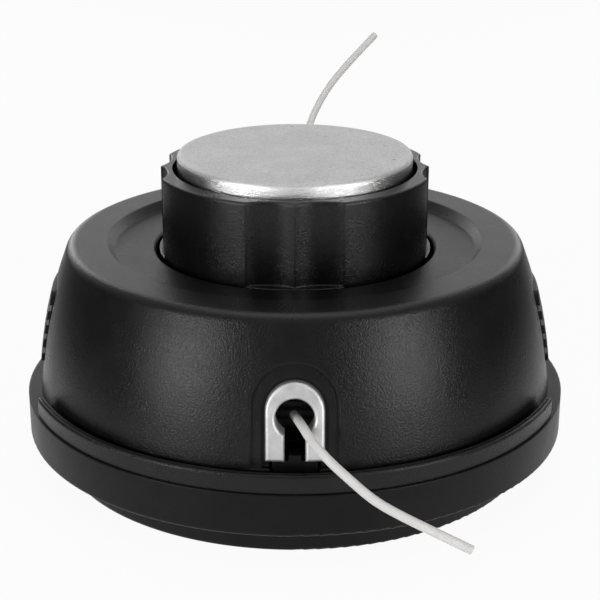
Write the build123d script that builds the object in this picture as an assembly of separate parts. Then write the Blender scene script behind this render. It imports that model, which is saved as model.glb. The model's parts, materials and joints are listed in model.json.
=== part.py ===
from build123d import *
import os
from math import cos, hypot, pi, radians, sin, sqrt, tan

# Trimmer head for a brush cutter: a domed cover on a base, with a line spool, a bump knob and a
# freely turning steel cap. Millimetres, +Z up with the knob on top, origin under the middle.
# The two line eyelets face -Y and +Y, the two snap latches face +X and -X.

# Base housing
ring_radius = 66.0
ring_wall = 3.5
ring_bottom = 7.6
ring_top = 17.6
floor_thickness = 2.9
drum_inset = 7.7
drum_wall = 3.0
hub_radius = 15.0
hub_bottom = 0.6
rib_thickness = 2.2
rib_bottom = 2.0
rib_count = 8
post_foot_radius = 13.0
post_foot_top = 22.0
post_radius = 9.2
post_top = 46.5
shaft_room_radius = 5.5
shaft_room_top = 42.0
edge_round = 0.8

# Cover
wall = 2.6
flange_top = 22.0
flange_width = 3.6
strip_inset = 0.4
strip_gap_half_angle = 22.0
strip_end_round = 1.2
strip_edge_round = 0.5
lip_width = 1.6
lip_ridge = 0.4
lip_line_width = 0.3
lip_line_depth = 0.4
gutter_depth = 2.4
spigot_depth = 3.0
spigot_wall = 2.4
dome_lean = 7.8
dome_bulge = 1.3
cover_top = 54.2
shoulder_round = 2.6
rim_width = 9.2
dish_slope = 1.8
dish_floor = 52.2
hole_radius = 33.7
hole_round = 0.6
ceiling = 49.2

# Snap latches
window_half_width = 12.0
window_bottom = 24.2
window_top = 43.7
window_corner = 3.0
scoop_margin = 2.2
scoop_depth = 0.7
latch_gap = 0.7
latch_proud = 0.5
latch_arm_half_width = 10.0
latch_arm_thickness = 2.4
grip_groove_count = 4
grip_groove_width = 1.5
grip_groove_depth = 0.7

# Line eyelets
eyelet_half_width = 6.4
eyelet_top = 40.8
eyelet_bottom = 23.6
eyelet_proud = 0.3
eyelet_hole_height = 33.0
eyelet_hole_radius = 4.2
eyelet_slot_width = 4.4
eyelet_edge_round = 0.8
eyelet_neck_step = 1.2
eyelet_back_thickness = 1.5
eyelet_gap = 0.7
recess_margin = 3.2
recess_depth = 0.8
pocket_depth = 1.5
slot_rib_width = 2.7
slot_rib_top = 24.8

# Ratchet: the same count of lugs on cover and base, and of teeth on each side of the spool
tooth_count = 6
tooth_half_angle = 7.0
tooth_inner_radius = 36.8
tooth_outer_radius = 42.8
tooth_height = 3.0
lug_gap = 0.6
bump_travel = 6.0

# Spool
spool_side_gap = 4.6
spool_flange_thickness = 2.0
spool_top = 45.6
spool_bottom = 21.0
spool_divider_thickness = 1.6
spool_drum_radius = 24.0
spool_bore_radius = 19.5
spool_web_thickness = 3.0
notch_width = 2.6
notch_depth = 4.0

# Line
line_diameter = 2.0
winding_turns = 4
winding_depth = 7.0

# Return spring and its washer
spring_wire = 1.8
spring_mean_radius = 11.2
spring_turns = 5.0
washer_thickness = 1.5
washer_radius = 13.2

# Bump knob
knob_radius = 32.8
knob_top = 71.7
knob_wall = 3.5
knob_floor_top = 62.5
knob_floor_thickness = 3.0
knob_rim_round = 0.5
flute_groups = 4
flute_spacing = 9.0
flute_cutter_radius = 12.0
flute_floor_radius = 30.6
flute_bottom = 52.0
screw_count = 4
screw_circle_radius = 16.2
screw_radius = 1.5
screw_head_radius = 2.7
screw_head_height = 2.0
screw_length = 12.0
screw_boss_radius = 3.3

# Ball bearing, 8 x 22 x 7
bearing_bore_radius = 4.0
bearing_radius = 11.0
bearing_width = 7.0
bearing_race = 2.05
ball_radius = 1.95
ball_count = 7
ball_clearance = 0.12
cage_wall = 1.2
cage_edge = 0.9
bearing_lip = 1.7
bearing_lip_radius = 8.5

# Steel cap
cap_radius = 28.1
cap_edge_height = 75.0
cap_crown = 0.2
cap_edge_round = 0.8
cap_wall = 2.5
cap_skirt_bottom = 64.0
cap_shoulder_radius = 5.8
cap_screw_radius = 2.5
cap_screw_length = 10.0
cap_screw_head_radius = 4.0
cap_screw_head_height = 1.5
cap_washer_thickness = 0.8

# Drive insert, the hexagonal steel nut that takes the gearbox shaft
insert_flats = 17.0
insert_top = 19.0
insert_bore_radius = 4.4
insert_chamfer = 0.8

# General clearances
fit_gap = 0.3
loose_gap = 0.6
screw_gap = 0.02

# Sizes that follow from the ones above
floor_top = ring_bottom + floor_thickness
ring_inner_radius = ring_radius - ring_wall
drum_radius = ring_radius - drum_inset
strip_radius = ring_radius - strip_inset
dome_foot_radius = ring_radius - flange_width
dome_shoulder_radius = dome_foot_radius - dome_lean
dish_top_radius = dome_shoulder_radius - rim_width
dish_floor_radius = dish_top_radius - dish_slope
spool_flange_radius = dome_shoulder_radius - spool_side_gap
winding_radius = spool_flange_radius - winding_depth
web_bottom = spool_top - spool_web_thickness
spring_top = web_bottom - washer_thickness
divider_bottom = (spool_bottom + spool_top - spool_divider_thickness) / 2
bearing_bottom = knob_floor_top - bearing_width
ball_circle_radius = (bearing_bore_radius + bearing_radius) / 2
ball_height = bearing_bottom + bearing_width / 2
tooth_pitch = 360 / tooth_count
base_lug_top = spool_bottom - bump_travel - lug_gap

# The dome is an arc of large radius; its centre follows from the foot, the shoulder and the bulge
dome_rise = cover_top - flange_top
dome_chord = hypot(dome_rise, dome_lean)
dome_arc_radius = (dome_chord ** 2 / 4 + dome_bulge ** 2) / (2 * dome_bulge)
dome_drop = dome_arc_radius - dome_bulge
dome_centre_radius = (dome_foot_radius + dome_shoulder_radius) / 2 - dome_drop * dome_rise / dome_chord
dome_centre_height = (flange_top + cover_top) / 2 - dome_drop * dome_lean / dome_chord


def dome_radius(height, inset=0.0):
    """Radius of the dome at a height, on a surface inset below the outer one."""
    arc = dome_arc_radius - inset
    return dome_centre_radius + sqrt(arc ** 2 - (height - dome_centre_height) ** 2)


def dome_core(inset, low, high):
    """Everything inside the dome surface at an inset, between two heights."""
    middle = (low + high) / 2
    foot = (dome_radius(low, inset), low)
    shoulder = (dome_radius(high, inset), high)
    arc = ThreePointArc(foot, (dome_radius(middle, inset), middle), shoulder)
    rest = Polyline(shoulder, (0, high), (0, low), foot)
    return revolve(make_face(Plane.XZ * (arc + rest)), Axis.Z)


def dome_skin(outer_inset, inner_inset, low, high):
    """The layer of the dome between two insets."""
    return dome_core(outer_inset, low, high) - dome_core(inner_inset, low, high)


def turned(*outline):
    """A turned solid from a closed outline of (radius, height) points."""
    return revolve(make_face(Plane.XZ * Polyline(*outline, close=True)), Axis.Z)


def ring(outer, inner, low, high):
    """A plain ring between two heights."""
    return Pos(0, 0, low) * extrude(Circle(outer) - Circle(inner), high - low)


def disc(radius, low, high):
    """A plain disc between two heights."""
    return Pos(0, 0, low) * extrude(Circle(radius), high - low)


def sector(inner, outer, low, high, half_angle, angle=0.0):
    """A piece of a ring, centred on an angle about Z."""
    reach = 2 * outer
    edge_x, edge_y = reach * cos(radians(half_angle)), reach * sin(radians(half_angle))
    wedge = Polygon((0, 0), (edge_x, -edge_y), (reach, 0), (edge_x, edge_y), align=None)
    plate = (Circle(outer) - Circle(inner)) & wedge
    return Rot(0, 0, angle) * Pos(0, 0, low) * extrude(plate, high - low)


def block(x_low, x_high, y_low, y_high, z_low, z_high):
    """A box given by its corners."""
    centre = Pos((x_low + x_high) / 2, (y_low + y_high) / 2, (z_low + z_high) / 2)
    return centre * Box(x_high - x_low, y_high - y_low, z_high - z_low)


def spaced(piece, count, first=0.0):
    """Copies of a piece at even angles about Z."""
    return [Rot(0, 0, first + 360 * i / count) * piece for i in range(count)]


def pair(piece):
    """A piece and its twin on the opposite side."""
    return spaced(piece, 2)


def arch_prism(half_width, top, bottom):
    """An arch shape on the front of the dome, reaching from the axis forward."""
    centre = top - half_width
    shape = Pos(0, (centre + bottom) / 2) * Rectangle(2 * half_width, centre - bottom)
    return extrude(Plane.XZ * (shape + Pos(0, centre) * Circle(half_width)), ring_radius)


def window_prism(margin):
    """A latch window on the +X side with rounded corners, grown all round by a margin."""
    width = 2 * (window_half_width + margin)
    height = window_top - window_bottom + 2 * margin
    shape = Pos(0, (window_top + window_bottom) / 2) * RectangleRounded(width, height, window_corner)
    return extrude(Plane.YZ * shape, 1.2 * ring_radius)


def tooth(low, high):
    """One ratchet tooth or lug on the +X axis."""
    return sector(tooth_inner_radius, tooth_outer_radius, low, high, tooth_half_angle)


# Base housing: floor, ring wall, drum, post, ratchet lugs and two snap arms
def make_latch():
    """The snap arm on the +X side: a springy arm whose ribbed head fills the cover's window."""
    arm_inset = wall + loose_gap
    head_low, head_high = window_bottom + latch_gap, window_top - latch_gap
    head_half = window_half_width - latch_gap
    reach = 1.2 * ring_radius
    arm = dome_skin(arm_inset, arm_inset + latch_arm_thickness, ring_bottom, head_high)
    arm &= block(0, reach, -latch_arm_half_width, latch_arm_half_width, ring_bottom, head_high)
    head = dome_skin(-latch_proud, arm_inset + latch_arm_thickness, head_low, head_high)
    head &= window_prism(-latch_gap)
    for i in range(grip_groove_count):
        middle = head_low + (head_high - head_low) * (i + 1) / (grip_groove_count + 1)
        low, high = middle - grip_groove_width / 2, middle + grip_groove_width / 2
        groove = dome_skin(-latch_proud - 1, grip_groove_depth - latch_proud, low, high)
        head -= groove & block(0, reach, -head_half, head_half, low, high)
    return arm + head


def make_eyelet_seat():
    """The block under the front eyelet, with the rib that closes the foot of its slot."""
    inset = recess_depth
    depth = wall + eyelet_back_thickness + fit_gap
    skin = dome_skin(inset, depth, ring_bottom, slot_rib_top)
    half = eyelet_half_width - eyelet_neck_step - fit_gap
    seat = skin & block(-half, half, -ring_radius, 0, ring_bottom, eyelet_bottom)
    rib_half = slot_rib_width / 2
    return seat + (skin & block(-rib_half, rib_half, -ring_radius, 0, ring_bottom, slot_rib_top))


def make_base():
    plate = disc(ring_radius, ring_bottom, floor_top)
    plate += ring(ring_radius, ring_inner_radius, ring_bottom, ring_top)
    plate = fillet(plate.edges().group_by(Axis.Z)[0], edge_round)
    drum = ring(drum_radius, drum_radius - drum_wall, 0, floor_top)
    drum = fillet(drum.edges().group_by(Axis.Z)[0], edge_round)
    rib = block(0, drum_radius - drum_wall / 2, -rib_thickness / 2, rib_thickness / 2, rib_bottom, floor_top)
    post = disc(hub_radius, hub_bottom, floor_top)
    post += disc(post_foot_radius, ring_bottom, post_foot_top) + disc(post_radius, ring_bottom, post_top)
    base = plate + drum + spaced(rib, rib_count, 180 / rib_count) + post
    base += spaced(tooth(ring_bottom, base_lug_top), tooth_count)
    base += pair(make_latch()) + pair(make_eyelet_seat())
    base -= extrude(RegularPolygon(insert_flats / 2, 6, major_radius=False), insert_top)
    return base - disc(shaft_room_radius, 0, shaft_room_top)


# Cover: the domed shell with the flange strips, the dish, the hole for the knob and the cut-outs
def make_strip():
    """The flange strip on the +Y side, round at its ends, with a gutter behind its lip."""
    strip = sector(dome_foot_radius - wall, strip_radius, ring_top, flange_top, 90 - strip_gap_half_angle, 90)
    ends = strip.edges().filter_by(Axis.Z).group_by(lambda edge: hypot(edge.center().X, edge.center().Y))[-1]
    strip = fillet(ends, strip_end_round)
    top_edges = strip.edges().group_by(Axis.Z)[-1]
    outside = strip_radius - strip_end_round
    strip = fillet([e for e in top_edges if hypot(e.center().X, e.center().Y) > outside], strip_edge_round)
    lip_inner = strip_radius - lip_width
    strip -= ring(lip_inner, dome_foot_radius, flange_top - gutter_depth, flange_top)
    line_inner = lip_inner + lip_ridge
    return strip - ring(line_inner + lip_line_width, line_inner, flange_top - lip_line_depth, flange_top)


def make_cover():
    dome = dome_core(0, ring_top, cover_top)
    dome = fillet(dome.edges().group_by(Axis.Z)[-1], shoulder_round)
    cover = dome + pair(make_strip())
    spigot_radius = ring_inner_radius - fit_gap
    cover += ring(spigot_radius, spigot_radius - spigot_wall, ring_top - spigot_depth, flange_top)
    cover -= dome_core(wall, ring_top - spigot_depth - 1, ceiling)
    rim_room = dome_core(wall, ceiling - 1, cover_top - wall)
    cover -= rim_room - disc(dish_top_radius + wall / 2, ceiling - 1, cover_top)
    cover -= turned((0, cover_top + 1), (dish_top_radius, cover_top + 1), (dish_top_radius, cover_top),
                    (dish_floor_radius, dish_floor), (hole_radius + hole_round, dish_floor),
                    (hole_radius, dish_floor - hole_round), (hole_radius, ceiling - 1), (0, ceiling - 1))
    cover += spaced(tooth(spool_top + lug_gap, ceiling + 1), tooth_count)
    scoop = window_prism(scoop_margin) & dome_skin(-1, scoop_depth, ring_top, cover_top)
    cover -= pair(window_prism(0)) + pair(scoop)
    return cover - pair(make_eyelet_room())


def make_eyelet_room():
    """What the cover leaves open for the front eyelet: recess, pocket and slot."""
    low, high = ring_top - spigot_depth - 1, ceiling
    recess_half = eyelet_half_width + recess_margin
    recess_top = eyelet_top + recess_margin + eyelet_gap
    recess = arch_prism(recess_half, recess_top, flange_top) & dome_skin(-1, recess_depth, low, high)
    pocket_half = eyelet_half_width + eyelet_gap
    pocket = arch_prism(pocket_half, eyelet_top + eyelet_gap, flange_top)
    pocket &= dome_skin(-1, pocket_depth, low, high)
    slot_half = eyelet_half_width - eyelet_neck_step + fit_gap / 2
    slot_top = eyelet_top - eyelet_neck_step + fit_gap / 2
    slot = arch_prism(slot_half, slot_top, low) & dome_skin(0, 2 * wall, low, high)
    return recess + pocket + slot


# Line eyelet: a metal keyhole plate with a neck that sits in the cover's slot
def make_eyelet():
    low, high = eyelet_bottom, ceiling
    neck_half, neck_top = eyelet_half_width - eyelet_neck_step, eyelet_top - eyelet_neck_step
    face = arch_prism(eyelet_half_width, eyelet_top, low) & dome_skin(-eyelet_proud, pocket_depth, low, high)
    back_inset = wall + fit_gap / 2
    neck = arch_prism(neck_half, neck_top, low) & dome_skin(0, back_inset + 0.5, low, high)
    back = arch_prism(eyelet_half_width, eyelet_top, low)
    back &= dome_skin(back_inset, wall + eyelet_back_thickness, low, high)
    slot_height = eyelet_hole_height - low + 1
    keyhole = Pos(0, eyelet_hole_height) * Circle(eyelet_hole_radius)
    keyhole += Pos(0, eyelet_hole_height - slot_height / 2) * Rectangle(eyelet_slot_width, slot_height)
    eyelet = face + neck + back - extrude(Plane.XZ * keyhole, ring_radius)
    front_face = eyelet.faces().sort_by(Axis.Y)[0]
    return fillet(front_face.edges(), eyelet_edge_round)


# Drive insert
def make_drive_insert():
    body = extrude(RegularPolygon(insert_flats / 2, 6, major_radius=False), insert_top - hub_bottom)
    mouth = insert_bore_radius + insert_chamfer
    bore = turned((0, 0), (mouth, 0), (insert_bore_radius, insert_chamfer),
                  (insert_bore_radius, insert_top), (0, insert_top))
    return Pos(0, 0, hub_bottom) * (body - bore)


# Spool with its two line chambers, ratchet teeth and line notches
def make_spool():
    flange_low, flange_high = spool_bottom + spool_flange_thickness, spool_top - spool_flange_thickness
    divider_top = divider_bottom + spool_divider_thickness
    spool = ring(spool_drum_radius, spool_bore_radius, spool_bottom, spool_top)
    spool += ring(spool_flange_radius, spool_bore_radius, spool_bottom, flange_low)
    spool += ring(spool_flange_radius, spool_bore_radius, divider_bottom, divider_top)
    spool += ring(spool_flange_radius, post_radius + fit_gap, flange_high, spool_top)
    spool += ring(spool_drum_radius, post_radius + fit_gap, web_bottom, spool_top)
    upper = tooth(flange_high, spool_top + tooth_height)
    lower = tooth(spool_bottom - tooth_height, flange_low)
    spool += spaced(upper, tooth_count, tooth_pitch / 2) + spaced(lower, tooth_count)
    notch = block(spool_flange_radius - notch_depth, spool_flange_radius + 1,
                  -notch_width / 2, notch_width / 2, spool_bottom, spool_top)
    spool -= pair(Rot(0, 0, tooth_pitch / 2) * notch)
    hole = Pos(screw_circle_radius, 0) * disc(screw_radius + fit_gap, web_bottom, spool_top)
    return spool - spaced(hole, screw_count, 180 / screw_count)


def make_winding(low, high):
    """The line wound in one chamber, its outer turns lying side by side."""
    pitch = (high - low) / winding_turns
    start, end = (winding_radius, low), (winding_radius, high)
    outline = Polyline(end, (spool_drum_radius, high), (spool_drum_radius, low), start)
    for i in range(winding_turns):
        foot, head = (winding_radius, low + i * pitch), (winding_radius, low + (i + 1) * pitch)
        outline += ThreePointArc(foot, (winding_radius + pitch / 2, low + (i + 0.5) * pitch), head)
    return revolve(make_face(Plane.XZ * outline), Axis.Z)


# Return spring: one wire wound round the post between the post's foot and the washer
def make_spring():
    wire_radius = spring_wire / 2
    low, high = post_foot_top + wire_radius, spring_top - wire_radius
    path = Pos(0, 0, low) * Helix((high - low) / spring_turns, high - low, spring_mean_radius)
    return sweep(Plane(path @ 0, z_dir=path % 0) * Circle(wire_radius), path, is_frenet=True)


# Bump knob: a fluted cup with the bearing seat and the screw bosses below its floor
def make_knob():
    floor_bottom = knob_floor_top - knob_floor_thickness
    knob = disc(knob_radius, spool_top, knob_top)
    cutter = disc(flute_cutter_radius, flute_bottom, knob_top)
    cutter = Pos(flute_floor_radius + flute_cutter_radius, 0) * cutter
    for side in (-flute_spacing, flute_spacing):
        knob -= spaced(cutter, flute_groups, side)
    knob = fillet(knob.edges().group_by(Axis.Z)[-1], knob_rim_round)
    knob -= disc(knob_radius - knob_wall, knob_floor_top, knob_top)
    knob -= disc(knob_radius - knob_wall, spool_top, floor_bottom)
    knob += disc(bearing_radius + knob_wall, bearing_bottom - bearing_lip, knob_floor_top)
    turn = 180 / screw_count
    boss = disc(screw_boss_radius, spool_top, floor_bottom)
    knob += spaced(Pos(screw_circle_radius, 0) * boss, screw_count, turn)
    pilot = disc(screw_radius + screw_gap, spool_top, web_bottom + screw_length + 1)
    knob -= spaced(Pos(screw_circle_radius, 0) * pilot, screw_count, turn)
    knob -= disc(bearing_radius, bearing_bottom, knob_floor_top)
    return knob - disc(bearing_lip_radius, bearing_bottom - bearing_lip, bearing_bottom)


def make_knob_screws():
    head = disc(screw_head_radius, web_bottom - screw_head_height, web_bottom)
    head = fillet(head.edges().group_by(Axis.Z)[0], screw_head_height / 3)
    screw = head + disc(screw_radius, web_bottom, web_bottom + screw_length)
    slot = block(-screw_radius, screw_radius, -screw_radius / 4, screw_radius / 4,
                 web_bottom - screw_head_height, web_bottom - screw_head_height / 2)
    screw -= slot + Rot(0, 0, 90) * slot
    return Compound(spaced(Pos(screw_circle_radius, 0) * screw, screw_count, 180 / screw_count))


# Ball bearing between the knob and the cap
def ball_track():
    """The groove that the balls run in."""
    return Pos(0, 0, ball_height) * Torus(ball_circle_radius, ball_radius + ball_clearance)


def make_inner_race():
    top = bearing_bottom + bearing_width
    return ring(bearing_bore_radius + bearing_race, bearing_bore_radius, bearing_bottom, top) - ball_track()


def make_outer_race():
    top = bearing_bottom + bearing_width
    return ring(bearing_radius, bearing_radius - bearing_race, bearing_bottom, top) - ball_track()


def make_balls():
    return Compound(spaced(Pos(ball_circle_radius, 0, ball_height) * Sphere(ball_radius), ball_count))


def make_cage():
    half = ball_radius + cage_edge
    band = ring(ball_circle_radius + cage_wall / 2, ball_circle_radius - cage_wall / 2,
                ball_height - half, ball_height + half)
    pocket = Rot(0, 90, 0) * Cylinder(ball_radius + ball_clearance, 2 * cage_wall)
    pocket = Pos(ball_circle_radius, 0, ball_height) * pocket
    return band - spaced(pocket, ball_count)


# Steel cap: a crowned cup with the spindle that runs in the bearing
def make_cap():
    edge = (cap_radius - cap_edge_round, cap_edge_height)
    side = (cap_radius, cap_edge_height - cap_edge_round)
    lean = cap_edge_round * sin(radians(45))
    knee = (edge[0] + lean, side[1] + lean)
    middle_radius = edge[0] / 2
    crown_middle = (middle_radius, cap_edge_height + 0.75 * cap_crown)
    inner = cap_radius - cap_wall
    under = cap_edge_height - cap_wall
    outline = ThreePointArc((0, cap_edge_height + cap_crown), crown_middle, edge)
    outline += ThreePointArc(edge, knee, side)
    outline += Polyline(side, (cap_radius, cap_skirt_bottom), (inner, cap_skirt_bottom), (inner, under),
                        (cap_shoulder_radius, under), (cap_shoulder_radius, knob_floor_top),
                        (bearing_bore_radius, knob_floor_top), (bearing_bore_radius, bearing_bottom),
                        (0, bearing_bottom), (0, cap_edge_height + cap_crown))
    cap = revolve(make_face(Plane.XZ * outline), Axis.Z)
    return cap - disc(cap_screw_radius + screw_gap, bearing_bottom, bearing_bottom + cap_screw_length + 1)


def make_cap_washer():
    return ring(cap_shoulder_radius, cap_screw_radius + screw_gap,
                bearing_bottom - cap_washer_thickness, bearing_bottom)


def make_cap_screw():
    seat = bearing_bottom - cap_washer_thickness
    head = disc(cap_screw_head_radius, seat - cap_screw_head_height, seat)
    head = fillet(head.edges().group_by(Axis.Z)[0], cap_screw_head_height / 3)
    socket = extrude(RegularPolygon(cap_screw_radius / 2, 6), cap_screw_head_height)
    head -= Pos(0, 0, seat - cap_screw_head_height) * socket
    return head + disc(cap_screw_radius, seat, seat + cap_screw_length)


# Cut line tails: routes chosen by hand from just inside the eyelet to the free end. Each point is
# (sideways, outward, upward) from the middle of the eyelet's hole on the dome.
front_route = [(-0.9, -8.0, 0.6), (0.9, -1.2, -0.4), (3.5, 4.2, -3.0), (7.0, 8.2, -5.5), (11.5, 11.2, -8.6),
               (16.3, 13.6, -12.0), (21.4, 15.2, -14.4), (28.2, 16.2, -17.6), (36.5, 16.8, -21.7)]
rear_route = [(-0.6, -8.0, 0.3), (-0.2, -0.6, 2.6), (0.4, 6.6, 8.6), (1.4, 12.4, 17.8), (3.8, 17.2, 28.8),
              (8.2, 23.4, 36.6), (14.6, 30.4, 43.4), (23.7, 39.0, 50.9)]


def make_tail(route, side, name):
    """A round line along straight runs joined by arcs as large as the runs allow."""
    mouth = dome_radius(eyelet_hole_height)
    points = [Vector(x, side * (mouth + out), eyelet_hole_height + up) for x, out, up in route]
    runs = [b - a for a, b in zip(points, points[1:])]
    radii = []
    for before, after in zip(runs, runs[1:]):
        half_turn = radians(before.get_angle(after)) / 2
        radii.append(0.45 * min(before.length, after.length) / tan(half_turn))
    path = FilletPolyline(*points, radius=radii)
    tail = sweep(Plane(points[0], z_dir=runs[0]) * Circle(line_diameter / 2), path)
    section = pi * line_diameter ** 2 / 4
    filled = tail.volume / (section * path.length)
    print(name, "length %.1f, volume over section x length %.4f" % (path.length, filled))
    print(name, "arc radii", [round(r, 1) for r in radii])
    return tail


chamber_low = spool_bottom + spool_flange_thickness
chamber_high = spool_top - spool_flange_thickness
eyelet = make_eyelet()
nodes = {
    "base_housing": make_base(),
    "cover": make_cover(),
    "line_eyelet_front": eyelet,
    "line_eyelet_rear": Rot(0, 0, 180) * eyelet,
    "drive_insert": make_drive_insert(),
    "return_spring": make_spring(),
    "spring_washer": ring(washer_radius, post_radius + fit_gap, spring_top, web_bottom),
    "spool": make_spool(),
    "line_winding_lower": make_winding(chamber_low, divider_bottom),
    "line_winding_upper": make_winding(divider_bottom + spool_divider_thickness, chamber_high),
    "bump_knob": make_knob(),
    "knob_screws": make_knob_screws(),
    "bearing_outer_race": make_outer_race(),
    "bearing_inner_race": make_inner_race(),
    "bearing_balls": make_balls(),
    "bearing_cage": make_cage(),
    "bump_cap": make_cap(),
    "cap_washer": make_cap_washer(),
    "cap_screw": make_cap_screw(),
    "line_tail_front": make_tail(front_route, -1, "front tail"),
    "line_tail_rear": make_tail(rear_route, 1, "rear tail"),
}

os.makedirs("parts", exist_ok=True)
for name, piece in nodes.items():
    export_step(piece, f"parts/{name}.step")
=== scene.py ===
import json
from math import radians

import bpy
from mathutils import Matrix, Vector


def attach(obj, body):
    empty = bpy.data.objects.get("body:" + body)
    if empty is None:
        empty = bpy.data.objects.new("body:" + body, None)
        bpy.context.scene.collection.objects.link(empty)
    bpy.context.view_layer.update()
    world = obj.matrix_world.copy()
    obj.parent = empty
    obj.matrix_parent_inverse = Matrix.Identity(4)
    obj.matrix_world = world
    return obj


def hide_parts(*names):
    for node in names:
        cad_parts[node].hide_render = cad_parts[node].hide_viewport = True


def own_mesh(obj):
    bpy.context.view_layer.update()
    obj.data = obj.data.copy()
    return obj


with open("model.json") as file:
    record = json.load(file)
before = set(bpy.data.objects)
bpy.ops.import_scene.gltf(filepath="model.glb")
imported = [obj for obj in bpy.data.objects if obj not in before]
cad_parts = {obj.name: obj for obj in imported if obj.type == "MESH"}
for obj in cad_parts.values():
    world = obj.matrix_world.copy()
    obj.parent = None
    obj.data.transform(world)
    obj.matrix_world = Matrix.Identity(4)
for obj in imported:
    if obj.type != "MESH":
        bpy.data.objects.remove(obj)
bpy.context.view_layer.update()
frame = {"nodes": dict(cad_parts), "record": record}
nodes = frame["nodes"]
MM = 0.001
WHITE = (1, 1, 1, 1)

# Camera, fitted to the photograph's ellipses
CAMERA_DISTANCE = 361.7 * MM
CAMERA_HEIGHT = 172.0 * MM
CAMERA_PITCH_DEGREES = 20.42
CAMERA_CLIP_START = 10 * MM
FOCAL_PIXELS = 1563.6
IMAGE_PIXELS = 600
AXIS_PIXEL = 294.9
SENSOR_MM = 36.0

# Line tails, in millimetres
LINE_DIAMETER = 2.0

# Middle of each eyelet's hole on the dome, in millimetres
MOUTH_RADIUS = 61.0
MOUTH_HEIGHT = 33.0
FRONT_SIDE = -1
REAR_SIDE = 1

# Routes as (sideways, outward, upward) from that middle: the points of the CAD tubes
FRONT_ROUTE = [
    # These two are set lower than in the tube, to meet the photograph
    (-0.2, -8.0, -2.4), (1.0, -1.2, -1.0),
    (3.5, 4.2, -3.0), (7.0, 8.2, -5.5), (11.5, 11.2, -8.6), (16.3, 13.6, -12.0),
    (21.4, 15.2, -14.4), (28.2, 16.2, -17.6), (36.5, 16.8, -21.7),
]
REAR_ROUTE = [
    (-0.6, -8.0, 0.3), (-0.2, -0.6, 2.6), (0.4, 6.6, 8.6), (1.4, 12.4, 17.8),
    (3.8, 17.2, 28.8), (8.2, 23.4, 36.6), (14.6, 30.4, 43.4), (23.7, 39.0, 50.9),
]

# Heights between which the cap's smoother edge, painted brighter as a painted highlight, turns into
# its satin top
CAP_SHEEN_EDGE_BELOW = 74.2 * MM
CAP_SATIN_ABOVE = 74.7 * MM

# Noise values lie mostly between these
NOISE_LOW = 0.3
NOISE_HIGH = 0.7

BEVEL_SAMPLES = 6
PLATING_SHADE = 0.85
LINE_TINT = (1.0, 0.99, 0.97)
LINE_SHADE = 0.93


def link(obj):
    bpy.context.scene.collection.objects.link(obj)
    return obj


def grey(level):
    return (level, level, level)


def math_node(tree, operation, first, second):
    """A math node on two sockets, or on a socket and a number."""
    node = tree.nodes.new("ShaderNodeMath")
    node.operation = operation
    for socket, value in zip(node.inputs, (first, second)):
        if isinstance(value, (int, float)):
            socket.default_value = value
        else:
            tree.links.new(value, socket)
    return node.outputs["Value"]


def ranged(tree, socket, from_low, from_high, to_low, to_high):
    """A map range node on a socket."""
    node = tree.nodes.new("ShaderNodeMapRange")
    node.inputs["From Min"].default_value = from_low
    node.inputs["From Max"].default_value = from_high
    node.inputs["To Min"].default_value = to_low
    node.inputs["To Max"].default_value = to_high
    tree.links.new(socket, node.inputs["Value"])
    return node.outputs["Result"]


def axes_of(tree, place):
    """The X, Y and Z sockets of a texture coordinate."""
    coordinates = tree.nodes.new("ShaderNodeTexCoord")
    axes = tree.nodes.new("ShaderNodeSeparateXYZ")
    tree.links.new(coordinates.outputs[place], axes.inputs["Vector"])
    return axes.outputs


class Shader:
    """A material's node tree with short calls for the nodes that the finishes share."""

    def __init__(self, name):
        self.material = bpy.data.materials.new(name)
        self.material.use_nodes = True
        self.tree = self.material.node_tree
        self.tree.nodes.clear()
        self.surface = self.tree.nodes.new("ShaderNodeBsdfPrincipled")
        output = self.tree.nodes.new("ShaderNodeOutputMaterial")
        self.tree.links.new(self.surface.outputs["BSDF"], output.inputs["Surface"])
        self.place = self.tree.nodes.new("ShaderNodeTexCoord").outputs["Object"]

    def set(self, **values):
        """Sets constant values on the surface's own sockets."""
        for name, value in values.items():
            self.surface.inputs[name.replace("_", " ")].default_value = value

    def feed(self, name, socket):
        self.tree.links.new(socket, self.surface.inputs[name])

    def noise(self, size_mm, detail=3.0, roughness=0.6):
        node = self.tree.nodes.new("ShaderNodeTexNoise")
        node.inputs["Scale"].default_value = 1 / (size_mm * MM)
        node.inputs["Detail"].default_value = detail
        node.inputs["Roughness"].default_value = roughness
        self.tree.links.new(self.place, node.inputs["Vector"])
        return node.outputs["Fac"]

    def spread(self, socket, low, high, from_low=NOISE_LOW, from_high=NOISE_HIGH):
        """A noise, or another range of values, spread from low to high."""
        return ranged(self.tree, socket, from_low, from_high, low, high)

    def ramp(self, socket, first, last):
        """A colour between two stops, each a position and a colour."""
        node = self.tree.nodes.new("ShaderNodeValToRGB")
        for element, (position, colour) in zip(node.color_ramp.elements, (first, last)):
            element.position = position
            element.color = (*colour, 1)
        self.tree.links.new(socket, node.inputs["Fac"])
        return node.outputs["Color"]

    def times(self, first, second):
        return math_node(self.tree, "MULTIPLY", first, second)

    def blend(self, first, second, share):
        """A share of the first value and the rest of the second."""
        return math_node(self.tree, "ADD", self.times(first, share), self.times(second, 1 - share))

    def bump(self, height, depth_mm, round_mm=0):
        """Fine relief on a surface, whose edges are shaded as rounded where a radius is given."""
        node = self.tree.nodes.new("ShaderNodeBump")
        node.inputs["Distance"].default_value = depth_mm * MM
        self.tree.links.new(height, node.inputs["Height"])
        if round_mm:
            rounded = self.tree.nodes.new("ShaderNodeBevel")
            rounded.samples = BEVEL_SAMPLES
            rounded.inputs["Radius"].default_value = round_mm * MM
            self.tree.links.new(rounded.outputs["Normal"], node.inputs["Normal"])
        self.feed("Normal", node.outputs["Normal"])


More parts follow.
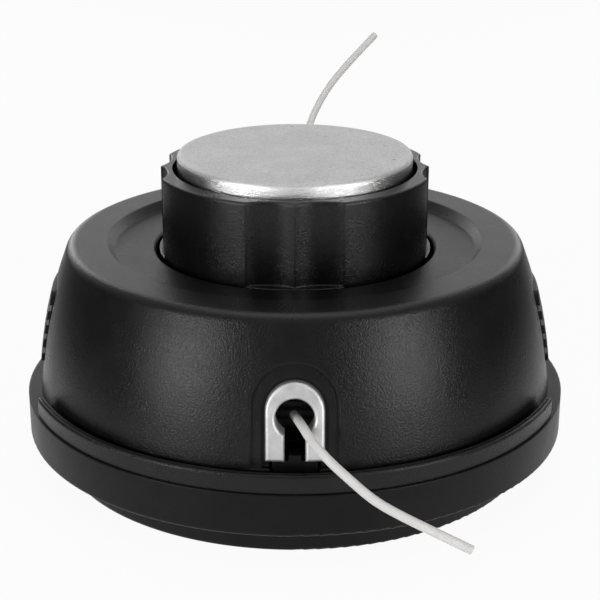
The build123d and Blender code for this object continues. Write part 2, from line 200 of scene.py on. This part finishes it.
# Moulded black nylon: fine grain, faint cloudy variation in tone and gloss
def black_nylon(name, tones, shine, roughness, grain_mm, depth_mm, round_mm):
    shader = Shader(name)
    dark, light = tones
    cloud = shader.noise(size_mm=9.0, detail=4.0)
    grain = shader.noise(size_mm=grain_mm, detail=2.0, roughness=0.7)
    mixed = shader.blend(cloud, grain, share=0.6)
    shader.feed("Base Color", shader.ramp(mixed, (0.35, grey(dark)), (0.65, grey(light))))
    shader.feed("Roughness", shader.spread(mixed, *roughness))
    shader.bump(grain, depth_mm, round_mm)
    shader.set(Specular_IOR_Level=shine)
    return shader.material


# Rolled steel of the cap: satin, finely speckled, with a few dark specks; its edge smoother and
# painted brighter as a painted highlight
def cap_steel():
    shader = Shader("cap_rolled_steel")
    height = axes_of(shader.tree, "Object")["Z"]

    def at_edge(factor):
        """A factor that holds at the cap's edge and goes to 1 on its top."""
        return shader.spread(height, factor, 1.0, CAP_SHEEN_EDGE_BELOW, CAP_SATIN_ABOVE)

    fine = shader.noise(size_mm=0.35, detail=4.0, roughness=0.75)
    cloud = shader.noise(size_mm=7.0, detail=3.0)
    specks = shader.noise(size_mm=1.6, detail=2.0, roughness=0.5)
    mixed = shader.blend(fine, cloud, share=0.82)
    pits = shader.spread(specks, low=1.0, high=0.55, from_low=0.70, from_high=0.76)
    tone = shader.times(shader.spread(mixed, low=0.34, high=0.66), pits)
    # Painted highlight: the tone is raised by half at the cap's edge
    tone = shader.times(tone, at_edge(1.5))
    shader.feed("Base Color", shader.ramp(tone, (0.0, grey(0.0)), (1.0, grey(1.0))))
    shader.feed("Roughness", shader.times(shader.spread(mixed, low=0.66, high=0.52), at_edge(0.42)))
    shader.bump(shader.times(fine, at_edge(5.0)), depth_mm=0.02, round_mm=2.0)
    shader.set(Metallic=1.0)
    return shader.material


# Tumbled metal of the eyelets
def eyelet_metal():
    shader = Shader("eyelet_tumbled_metal")
    fine = shader.noise(size_mm=0.5, detail=3.0)
    cloud = shader.noise(size_mm=4.0, detail=2.0)
    shader.feed("Base Color", shader.ramp(cloud, (0.35, grey(0.52)), (0.65, grey(0.65))))
    shader.feed("Roughness", shader.spread(fine, low=0.48, high=0.60))
    shader.bump(fine, depth_mm=0.008, round_mm=0.3)
    shader.set(Metallic=1.0)
    return shader.material


# Plated steel of the inner pieces
def plated_steel(name, level, roughness):
    shader = Shader(name)
    fine = shader.noise(size_mm=0.6, detail=3.0)
    dark = (NOISE_LOW, grey(level * PLATING_SHADE))
    light = (NOISE_HIGH, grey(level))
    shader.feed("Base Color", shader.ramp(fine, dark, light))
    shader.feed("Roughness", shader.spread(fine, *roughness))
    shader.bump(fine, depth_mm=0.004, round_mm=0.2)
    shader.set(Metallic=1.0)
    return shader.material


# White nylon line, slightly warm
def line_nylon(name, level):
    shader = Shader(name)
    fine = shader.noise(size_mm=2.5, detail=2.0)
    warm = [level * share for share in LINE_TINT]
    dark = (NOISE_LOW, [LINE_SHADE * channel for channel in warm])
    light = (NOISE_HIGH, warm)
    shader.feed("Base Color", shader.ramp(fine, dark, light))
    shader.feed("Roughness", shader.spread(fine, low=0.38, high=0.5))
    shader.bump(fine, depth_mm=0.003)
    shader.set(Specular_IOR_Level=0.4)
    return shader.material


# Finishes by the record's material slots; the wound line inside gets a much darker colour, a painted
# shade for the dark inside the case
finishes = {
    "base_plastic": black_nylon("base_black_nylon", tones=(0.002, 0.005), shine=0.15,
                                roughness=(0.34, 0.45), grain_mm=0.42, depth_mm=0.06, round_mm=0.6),
    "cover_plastic": black_nylon("cover_black_nylon", tones=(0.003, 0.006), shine=0.245,
                                 roughness=(0.25, 0.34), grain_mm=0.42, depth_mm=0.10, round_mm=0.7),
    "knob_plastic": black_nylon("knob_black_nylon", tones=(0.001, 0.002), shine=0.36,
                                roughness=(0.24, 0.32), grain_mm=0.42, depth_mm=0.09, round_mm=0.7),
    "spool_plastic": black_nylon("spool_black_nylon", tones=(0.004, 0.006), shine=0.24,
                                 roughness=(0.42, 0.55), grain_mm=0.6, depth_mm=0.04, round_mm=0.4),
    "eyelet_metal": eyelet_metal(),
    "cap_steel": cap_steel(),
    "bearing_steel": plated_steel("bearing_ground_steel", level=0.70, roughness=(0.12, 0.2)),
    "plain_steel": plated_steel("zinc_plated_steel", level=0.58, roughness=(0.28, 0.42)),
    "line_nylon": line_nylon("line_white_nylon", level=0.74),
}
# Painted shade: the wound line's dark colour stands in for the dark inside the case
wound_line_painted_shade = line_nylon("wound_line_painted_shade_nylon", level=0.12)
for part in frame["record"]["subparts"]:
    mesh = nodes[part["node"]].data
    mesh.materials.clear()
    wound = part["node"].startswith("line_winding")
    mesh.materials.append(wound_line_painted_shade if wound else finishes[part["material_slot"]])

# Return spring: the CAD coil as an object of its own, with its own mesh, attached to the housing
spring = link(bpy.data.objects.new("coil_spring", nodes["return_spring"].data.copy()))
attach(spring, "housing")
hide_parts("return_spring")
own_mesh(spring)


# Line tails: each a smooth spline on the route of its tube
def make_tail(name, route, side, node):
    curve = bpy.data.curves.new(name, "CURVE")
    curve.dimensions = "3D"
    curve.bevel_depth = LINE_DIAMETER / 2 * MM
    curve.bevel_resolution = 8
    curve.resolution_u = 16
    curve.use_fill_caps = True
    spline = curve.splines.new("NURBS")
    spline.points.add(len(route) - 1)
    places = [(across * MM, side * (MOUTH_RADIUS + out) * MM, (MOUTH_HEIGHT + up) * MM)
              for across, out, up in route]
    for point, place in zip(spline.points, places):
        point.co = (*place, 1)
    spline.order_u = 3
    spline.use_endpoint_u = True
    curve.materials.append(finishes["line_nylon"])
    tail = link(bpy.data.objects.new(name, curve))
    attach(tail, "housing")
    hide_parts(node)


make_tail("front_line_tail", FRONT_ROUTE, FRONT_SIDE, "line_tail_front")
make_tail("rear_line_tail", REAR_ROUTE, REAR_SIDE, "line_tail_rear")


# White background: the floor and the world are white to the camera
def white_to_camera(tree, lit, output, white_kind, share, mirrored):
    """Mixes a share of white into a shader for the camera, and shows mirrors another level."""
    rays = tree.nodes.new("ShaderNodeLightPath")
    camera_ray = rays.outputs["Is Camera Ray"]
    glossy_ray = rays.outputs["Is Glossy Ray"]
    mirror_ray = math_node(tree, "MAXIMUM", glossy_ray, rays.outputs["Is Transmission Ray"])
    white = tree.nodes.new(white_kind)
    white.inputs["Color"].default_value = WHITE
    tree.links.new(math_node(tree, "MAXIMUM", camera_ray, mirrored), white.inputs["Strength"])
    mix = tree.nodes.new("ShaderNodeMixShader")
    seen = math_node(tree, "MAXIMUM", math_node(tree, "MULTIPLY", camera_ray, share), mirror_ray)
    tree.links.new(seen, mix.inputs["Fac"])
    tree.links.new(lit, mix.inputs[1])
    tree.links.new(white.outputs[0], mix.inputs[2])
    tree.links.new(mix.outputs["Shader"], output)


# Floor: pale, with a soft shadow; glossy surfaces see it white near the head and dark at its sides
FLOOR_HALF = 3.0
FLOOR_LEVEL = 0.9
FLOOR_ROUGHNESS = 0.9
FLOOR_WHITE_SHARE = 0.94
CARD_NEAR = 0.08
CARD_FAR = 0.20
CARD_LEVEL = 0.08
floor_mesh = bpy.data.meshes.new("floor")
corner_signs = [(-1, -1), (1, -1), (1, 1), (-1, 1)]
corners = [(x * FLOOR_HALF, y * FLOOR_HALF, 0) for x, y in corner_signs]
floor_mesh.from_pydata(corners, [], [(0, 1, 2, 3)])
floor = link(bpy.data.objects.new("floor", floor_mesh))
floor_shader = bpy.data.materials.new("floor_white")
floor_shader.use_nodes = True
floor_tree = floor_shader.node_tree
floor_surface = floor_tree.nodes["Principled BSDF"]
floor_surface.inputs["Base Color"].default_value = (*grey(FLOOR_LEVEL), 1)
floor_surface.inputs["Roughness"].default_value = FLOOR_ROUGHNESS
sideways = math_node(floor_tree, "ABSOLUTE", axes_of(floor_tree, "Object")["X"], 0.0)
card_shade = ranged(floor_tree, sideways, CARD_NEAR, CARD_FAR, 1.0, CARD_LEVEL)
floor_output = floor_tree.nodes["Material Output"].inputs["Surface"]
white_to_camera(floor_tree, floor_surface.outputs["BSDF"], floor_output, "ShaderNodeEmission",
                FLOOR_WHITE_SHARE, card_shade)
floor_mesh.materials.append(floor_shader)

# World: soft even fill; glossy surfaces see a dark room with a white back wall and a pale ceiling
WORLD_FILL = 0.13
WORLD_WHITE_SHARE = 1.0
ROOM_LEVEL = 0.07
WALL_EDGE = 0.6
WALL_FULL = 0.92
CEILING_EDGE = 0.15
CEILING_FULL = 0.5
CEILING_LEVEL = 0.6
world = bpy.data.worlds.new("studio")
bpy.context.scene.world = world
world.use_nodes = True
world_tree = world.node_tree
fill = world_tree.nodes["Background"]
fill.inputs["Color"].default_value = WHITE
fill.inputs["Strength"].default_value = WORLD_FILL
directions = axes_of(world_tree, "Generated")
wall = ranged(world_tree, directions["Y"], WALL_EDGE, WALL_FULL, ROOM_LEVEL, 1.0)
ceiling = ranged(world_tree, directions["Z"], CEILING_EDGE, CEILING_FULL, ROOM_LEVEL, CEILING_LEVEL)
room_shade = math_node(world_tree, "MAXIMUM", wall, ceiling)
world_output = world_tree.nodes["World Output"].inputs["Surface"]
white_to_camera(world_tree, fill.outputs["Background"], world_output, "ShaderNodeBackground",
                WORLD_WHITE_SHARE, room_shade)


# Lamps: a soft box each side in front, a weaker pair behind and one above, in metres and watts
HEAD_MIDDLE = (0, 0, 0.04)
FRONT_BOX_SIZE = (0.17, 0.23)
REAR_BOX_SIZE = (0.15, 0.40)
TOP_BOX_SIZE = (0.7, 0.7)


def soft_box(name, place, size, power):
    lamp = bpy.data.lights.new(name, "AREA")
    lamp.shape = "RECTANGLE"
    lamp.size, lamp.size_y = size
    lamp.energy = power
    box = link(bpy.data.objects.new(name, lamp))
    box.location = place
    direction = Vector(HEAD_MIDDLE) - Vector(place)
    box.rotation_euler = direction.to_track_quat("-Z", "Y").to_euler()


soft_box("soft_box_left", place=(-0.44, -0.41, 0.12), size=FRONT_BOX_SIZE, power=1.85)
soft_box("soft_box_right", place=(0.44, -0.41, 0.12), size=FRONT_BOX_SIZE, power=1.65)
soft_box("soft_box_rear_left", place=(-0.30, 0.60, 0.24), size=REAR_BOX_SIZE, power=0.5)
soft_box("soft_box_rear_right", place=(0.30, 0.60, 0.24), size=REAR_BOX_SIZE, power=0.3)
soft_box("soft_box_top", place=(0, 0.10, 0.80), size=TOP_BOX_SIZE, power=2.0)

# Camera
camera_data = bpy.data.cameras.new("camera")
camera_data.sensor_width = SENSOR_MM
camera_data.lens = FOCAL_PIXELS / IMAGE_PIXELS * SENSOR_MM
camera_data.shift_x = (IMAGE_PIXELS / 2 - AXIS_PIXEL) / IMAGE_PIXELS
camera_data.clip_start = CAMERA_CLIP_START
camera = link(bpy.data.objects.new("camera", camera_data))
camera.location = (0, -CAMERA_DISTANCE, CAMERA_HEIGHT)
camera.rotation_euler = (radians(90 - CAMERA_PITCH_DEGREES), 0, 0)
bpy.context.scene.camera = camera
bpy.context.scene.view_settings.view_transform = "Standard"
